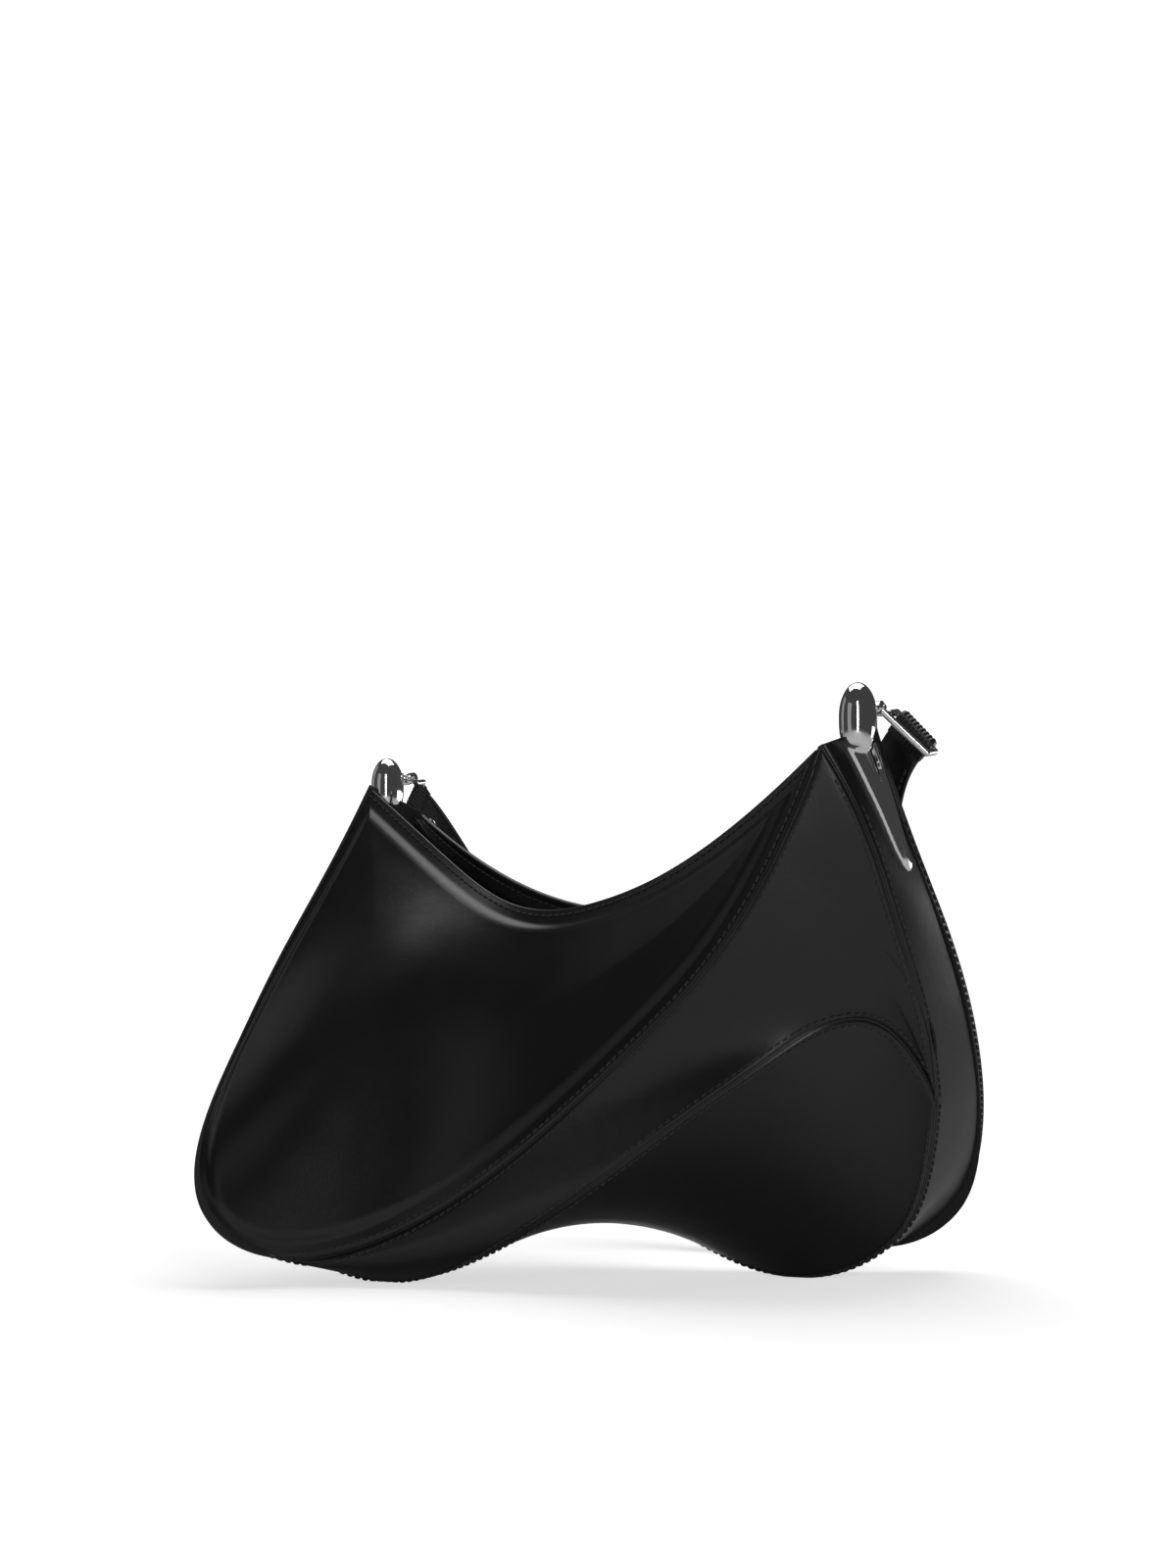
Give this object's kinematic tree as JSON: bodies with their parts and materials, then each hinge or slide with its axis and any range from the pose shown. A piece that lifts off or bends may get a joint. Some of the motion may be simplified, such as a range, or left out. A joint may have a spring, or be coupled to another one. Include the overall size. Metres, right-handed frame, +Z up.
{
  "type": "shoulder bag",
  "caption": "Sculpted black leather shoulder bag on two lobes, with a U-shaped mouth between two horns, chrome horn caps, strap rings and a buckled strap.",
  "frame": {"origin": "on the floor, midway between the two horns", "axes": "+X from the left horn to the right horn, +Y to the back, +Z up"},
  "size_m": [0.2936, 0.2418, 0.2362],
  "materials": {
    "bag_leather": "smooth calf leather, soft sheen",
    "facing_leather": "smooth calf leather, soft sheen",
    "strap_leather": "smooth calf leather with painted edges",
    "lining": "matt woven twill",
    "foam": "soft foam",
    "board": "matt fibre board",
    "chrome": "polished",
    "steel": "plain"
  },
  "bodies": {
    "bag": {"front_leaf_panel": "bag_leather", "back_leaf_panel": "bag_leather", "front_spiral_gusset": "bag_leather", "back_spiral_gusset": "bag_leather", "saddle_panel": "bag_leather", "front_pad_foam": "foam", "back_pad_foam": "foam", "front_stiffener_board": "board", "back_stiffener_board": "board", "saddle_stiffener_board": "board", "front_rim_binding": "facing_leather", "back_rim_binding": "facing_leather", "front_facing_band": "facing_leather", "back_facing_band": "facing_leather", "front_lining": "lining", "back_lining": "lining", "snap_socket": "steel", "snap_stud_plate": "steel", "right_horn_cap": "chrome", "left_horn_cap": "chrome", "right_clamp_plate": "steel", "left_clamp_plate": "steel", "cap_screws": "steel", "right_pivot_pin": "chrome", "left_pivot_pin": "chrome"},
    "right_ring": {"right_strap_ring": "chrome", "right_strap_fold": "strap_leather"},
    "left_ring": {"left_strap_ring": "chrome", "left_strap_fold": "strap_leather"},
    "strap": {"strap_long_end": "strap_leather", "strap_short_end": "strap_leather", "strap_rivets": "chrome", "buckle_frame": "chrome", "strap_keeper": "strap_leather"},
    "prong": {"buckle_prong": "chrome"}
  },
  "joints": [
    {"name": "right_ring_swing", "type": "hinge", "parent": "bag", "child": "right_ring", "pos_m": [0.127, 0.0105, 0.229], "axis": [1, 0, 0], "range_deg": [0, 114]},
    {"name": "left_ring_swing", "type": "hinge", "parent": "bag", "child": "left_ring", "pos_m": [-0.127, 0.0105, 0.229], "axis": [1, 0, 0], "range_deg": [0, 114]},
    {"name": "strap_swing", "type": "hinge", "parent": "right_ring", "child": "strap", "pos_m": [0.138, 0.027, 0.2215], "axis": [1, 0, 0], "range_deg": [0, 34.5]},
    {"name": "prong_swing", "type": "hinge", "parent": "strap", "child": "prong", "pos_m": [-0.05111, 0.1046, 0.04038], "axis": [-0.1039, -0.9383, -0.3299], "range_deg": [0, 90]}
  ],
  "couplings": [
    {"joint": "left_ring_swing", "follows": "right_ring_swing", "ratio": 1},
    {"joint": "strap_swing", "follows": "right_ring_swing", "ratio": 0.3}
  ]
}
